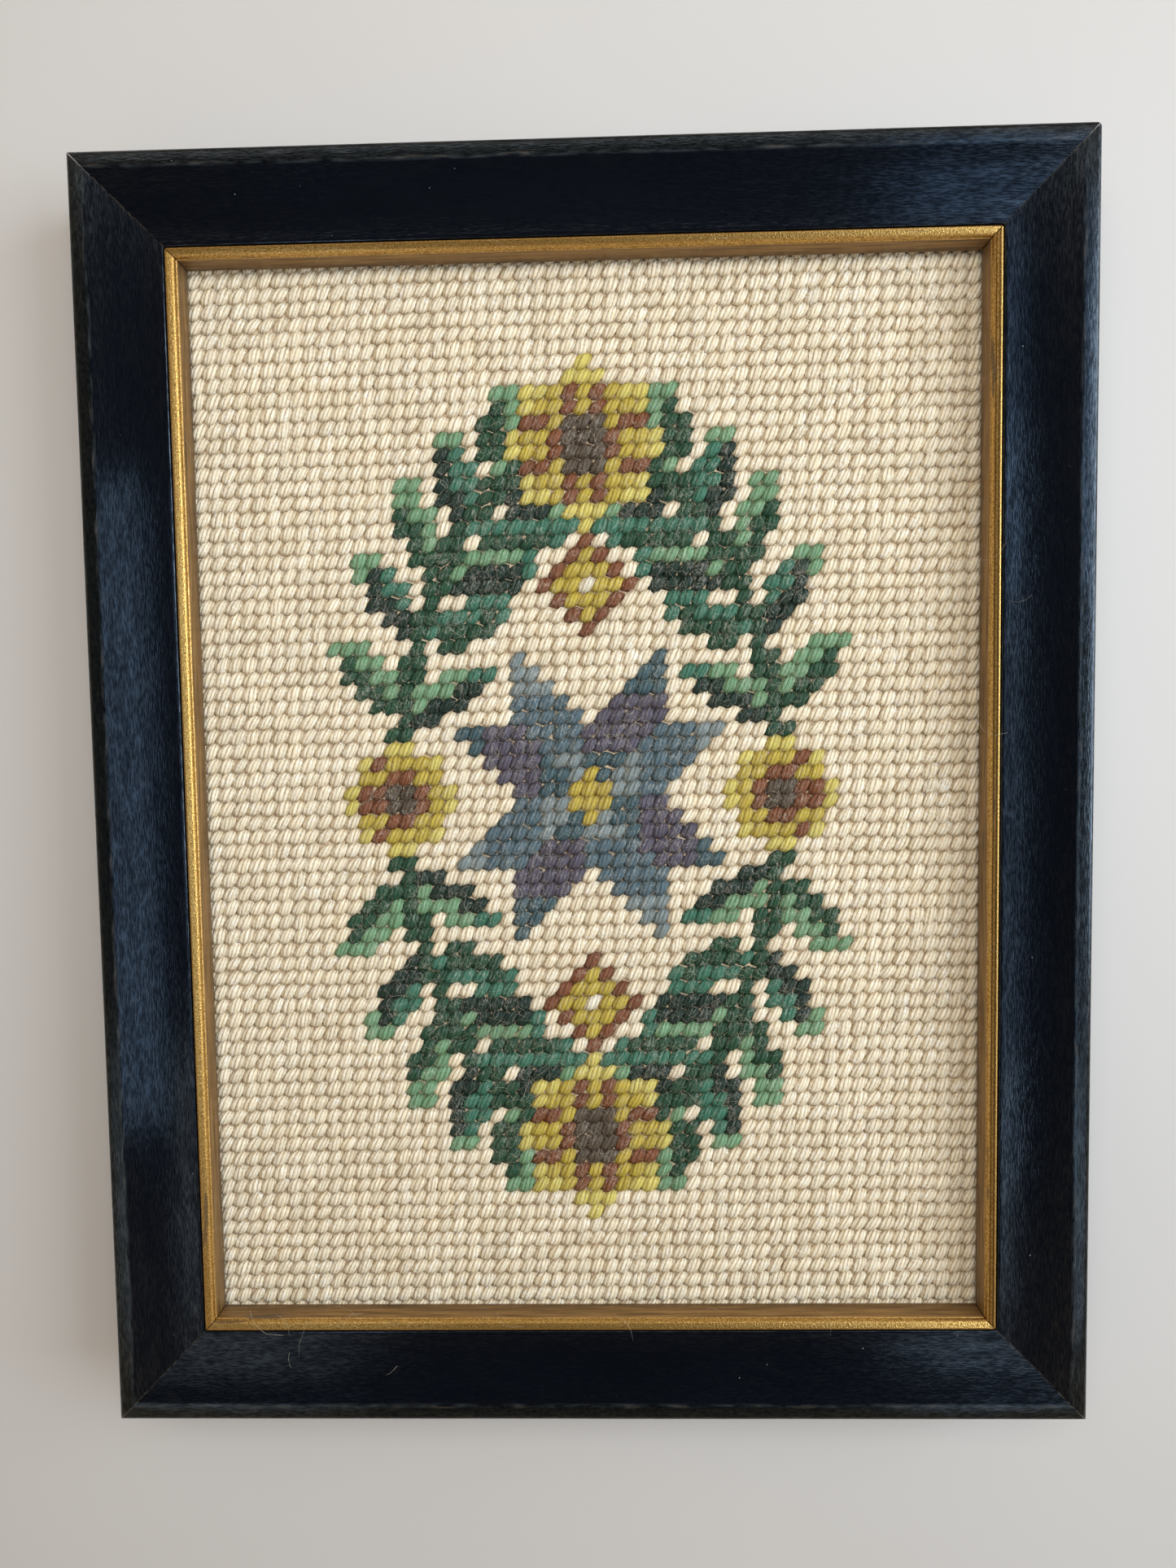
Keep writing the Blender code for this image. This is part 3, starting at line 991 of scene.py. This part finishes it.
# The drifted hairs: across, up and height, heading in degrees, length, and bend
DRIFTED = (
    (-62.5, -91.5, 17.6, -38, 7.5, 1.9),
    (-58.0, -92.0, 17.6, -60, 5.0, -1.6),
    (-50.5, -92.5, 17.6, -112, 9.0, 1.1),
    (-49.0, -91.5, 17.5, -15, 6.5, -2.2),
    (-42.0, -92.0, 17.6, -150, 6.0, 1.3),
    (-55.5, -99.0, 17.9, -80, 3.6, 0.9),
    (-36.0, -101.5, 18.2, -142, 3.0, -0.3),
    (-18.0, -91.8, 17.6, -30, 5.5, 1.8),
    (3.0, -92.2, 17.6, -55, 6.0, -1.4),
    (22.0, -91.6, 17.5, -160, 5.0, 2.0),
    (40.0, -92.0, 17.6, -70, 4.5, -1.7),
    (66.5, 40.0, 17.4, 30, 6.0, 1.6),
    (67.0, 12.5, 17.5, -20, 5.5, 2.0),
    (72.0, 33.0, 17.7, 15, 4.2, 1.4),
    (66.0, -28.0, 17.4, 5, 5.0, -1.9),
    (66.5, 70.0, 17.5, 35, 4.5, 1.2),
    (-67.5, 60.0, 17.4, 120, 5.0, 1.5),
    (-45.0, 92.0, 17.4, 20, 6.0, -1.6),
    (-12.0, 92.5, 17.5, 150, 5.0, 1.8),
    (20.0, 92.0, 17.5, 25, 5.5, -1.7),
)


def hair_finish(name):
    material, shader = start_finish("hair_" + name)
    tone = add(material, "ShaderNodeAttribute", {"attribute_name": "tone"}).outputs["Fac"]
    colour = as_light(HAIR_TONES[name])
    darker = tuple(part * 0.55 for part in colour)
    join(material, blend_colours(material, tone, darker, colour), shader.inputs["Base Color"])
    shader.inputs["Roughness"].default_value = 0.6
    return material


def hair_strand():
    """A three-sided tube, with the same map as a ply's so that both can be copied alike."""
    bm = straight_tube(HAIR_SIDES, HAIR_CUTS)
    bm.loops.layers.uv.new("ply")
    mesh = bpy.data.meshes.new("hair")
    bm.to_mesh(mesh)
    bm.free()
    return mesh


def curled(starts, headings, lengths, bends, lifts):
    """Points of strands that start at places and bend as they go, each lifted in its middle."""
    strand = points_of(hair)
    share = strand[:, 2] + 0.5
    heading = headings[:, None] + bends[:, None] * (share[None] - 0.5)
    middle = headings[:, None] + bends[:, None] * (share[None] / 2 - 0.5)
    run = lengths[:, None] * share[None]
    points = np.zeros((len(starts), len(strand), 3))
    aside = HAIR_RADIUS * strand[:, 1]
    points[:, :, 0] = starts[:, None, 0] + run * np.cos(middle) - aside * np.sin(heading)
    points[:, :, 1] = starts[:, None, 1] + run * np.sin(middle) + aside * np.cos(heading)
    points[:, :, 2] = (starts[:, None, 2] + lifts[:, None] * np.sin(math.pi * share)[None]
                       + HAIR_RADIUS * strand[:, 0])
    return points


hair = hair_strand()
roots = []
for yarn, places in chart.items():
    on_pale = yarn in PALE_YARNS
    for across, up in places:
        for _ in range(dice.poisson(HAIRS_ON_PALE if on_pale else HAIRS_ON_OTHERS)):
            roots.append((across * STITCH_ACROSS, up * STITCH_UP, on_pale))
roots = np.array(roots)
sight_half = np.array((outer_width, outer_height)) / 2 - SLIP_SIGHT_INSET
roots = roots[np.all(np.abs(roots[:, :2]) < sight_half - HAIR_MARGIN, axis=1)]
count = len(roots)
lengths = np.clip(dice.gamma(*HAIR_LENGTHS, count), *HAIR_LIMITS)
starts = np.column_stack((
    roots[:, :2] + dice.normal(0, HAIR_STRAY, (count, 2)),
    STITCH_TOP + dice.uniform(*HAIR_START, count) * MM,
))
headings = dice.uniform(0, 2 * math.pi, count)
bends = dice.normal(0, HAIR_BEND, count)
lifts = np.clip(dice.normal(*HAIR_RISE, count), *RISE_LIMITS) * lengths
fuzz_points = curled(starts, headings, lengths, bends, lifts)
drifted = np.array(DRIFTED)
over = curled(drifted[:, :3] * MM, np.radians(drifted[:, 3]), drifted[:, 4] * MM, drifted[:, 5],
              np.full(len(drifted), DRIFTED_RISE))
fuzz_points = np.concatenate((fuzz_points, over))
roots = np.concatenate((roots, np.zeros((len(drifted), 3))))
# Pale hairs show over the coloured yarns and the frame, and dull ones over the pale yarns
for name, on_pale in (("pale", False), ("dull", True)):
    chosen = roots[:, 2] == on_pale
    mesh = joined_copies("fuzz_" + name, hair, fuzz_points[chosen],
                         {"tone": dice.uniform(0, 1, chosen.sum())[:, None]})
    mesh.materials.append(hair_finish(name))
    fuzz = put_in("fuzz_" + name, mesh)
    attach(fuzz, "root")
bpy.data.meshes.remove(hair)


# The room. A plain pale floor, one large soft light from the upper right, as from a window, a weaker one
# overhead, and small ones that only show as the sheen on the paint and the gold. The surround is pale
# low down, dim and warm above that, and dark overhead, so that the paint mirrors black there.
FLOOR_HALF = 3.0
FLOOR_TONES = ((0.53, 0.525, 0.52), (0.55, 0.548, 0.545))
# Heights in the surround, from 0 at the horizon to 1 overhead: it is pale below the first pair and
# dark above the second. Then how bright it is overhead, lower down, and in the pale part besides.
PALE_BELOW = (0.45, 0.30)
DARK_ABOVE = (0.93, 0.70)
OVERHEAD_GLOW = 0.02
SURROUND_GLOW = 0.44
PALE_GLOW = 0.15
SURROUND_TONES = ((1.0, 0.69, 0.38), (0.90, 0.87, 0.84))
# Name, place, what it aims at, width, length, strength in watts, colour, and what it doesn't light
LIGHTS = (
    ("window", (0.60, 0.10, 0.48), (0, 0, 0), 0.55, 0.60, 5.8, (0.79, 0.90, 1.0), ""),
    ("skylight", (0.00, 0.125, 0.40), (0, 0, 0), 0.30, 0.20, 1.14, (1.0, 0.98, 0.95), "glossy"),
    ("left_sheen", (-0.0670, -0.005, 0.09), (-0.0670, -0.005, 0), 0.022, 0.152, 0.0170,
     (0.60, 0.78, 1.0), "diffuse"),
    ("left_shine", (-0.0670, 0.000, 0.09), (-0.0670, 0.000, 0), 0.022, 0.126, 0.0400,
     (0.60, 0.78, 1.0), "diffuse"),
    ("left_glint", (-0.0635, 0.003, 0.09), (-0.0635, 0.003, 0), 0.015, 0.084, 0.0380,
     (0.60, 0.78, 1.0), "diffuse"),
    ("right_sheen", (0.1090, 0.000, 0.08), (0.1090, 0.000, 0), 0.005, 0.260, 0.0065,
     (0.70, 0.84, 1.0), "diffuse"),
    ("right_shine", (0.0885, -0.008, 0.08), (0.0885, -0.008, 0), 0.008, 0.170, 0.0084,
     (0.62, 0.80, 1.0), "diffuse"),
    ("top_sheen", (0.143, 0.130, 0.26), (0.143, 0.130, 0), 0.060, 0.14, 0.034, (0.45, 0.68, 1.0),
     "diffuse"),
    ("bottom_sheen", (0.145, -0.175, 0.26), (0.145, -0.175, 0), 0.060, 0.10, 0.024, (0.78, 0.90, 1.0),
     "diffuse"),
    ("corner_sheen", (-0.150, -0.170, 0.26), (-0.150, -0.170, 0), 0.090, 0.12, 0.022, (0.98, 1.0, 0.98),
     "diffuse"),
    ("gilt_shine", (0.000, 0.300, 0.36), (0, 0, 0), 0.500, 0.06, 0.13, (1.0, 0.96, 0.90), "diffuse"),
)

bm = bmesh.new()
bmesh.ops.create_grid(bm, x_segments=2, y_segments=2, size=FLOOR_HALF)
mesh = bpy.data.meshes.new("floor")
bm.to_mesh(mesh)
bm.free()
material, shader = start_finish("floor_white")
place = add(material, "ShaderNodeTexCoord").outputs["Object"]
mottle = grain(material, place, 6.0, 3.0)
join(material, blend_colours(material, mottle, *FLOOR_TONES), shader.inputs["Base Color"])
shader.inputs["Roughness"].default_value = 0.6
mesh.materials.append(material)
floor = put_in("floor", mesh)

for name, place, aim, width, length, strength, colour, spared in LIGHTS:
    lamp = put_in(name, bpy.data.lights.new(name, "AREA"))
    lamp.data.shape = "RECTANGLE"
    lamp.data.size = width
    lamp.data.size_y = length
    lamp.data.energy = strength
    lamp.data.color = colour
    lamp.location = place
    lamp.rotation_euler = (Vector(aim) - Vector(place)).to_track_quat("-Z", "Y").to_euler()
    lamp.visible_glossy = spared != "glossy"
    lamp.visible_diffuse = spared != "diffuse"
    lamp.visible_camera = False

surround = bpy.data.worlds.new("surround")
surround.use_nodes = True
background = surround.node_tree.nodes["Background"]
way = add(surround, "ShaderNodeTexCoord").outputs["Generated"]
height = add(surround, "ShaderNodeSeparateXYZ", Vector=way).outputs[2]
low_down = spread(surround, height, *PALE_BELOW)
glow = calc(surround, "ADD", spread(surround, height, *DARK_ABOVE, OVERHEAD_GLOW, SURROUND_GLOW),
            calc(surround, "MULTIPLY", low_down, PALE_GLOW))
join(surround, glow, background.inputs["Strength"])
tint = blend_colours(surround, low_down, *SURROUND_TONES)
join(surround, tint, background.inputs["Color"])
bpy.context.scene.world = surround
bpy.context.scene.view_settings.view_transform = "Standard"
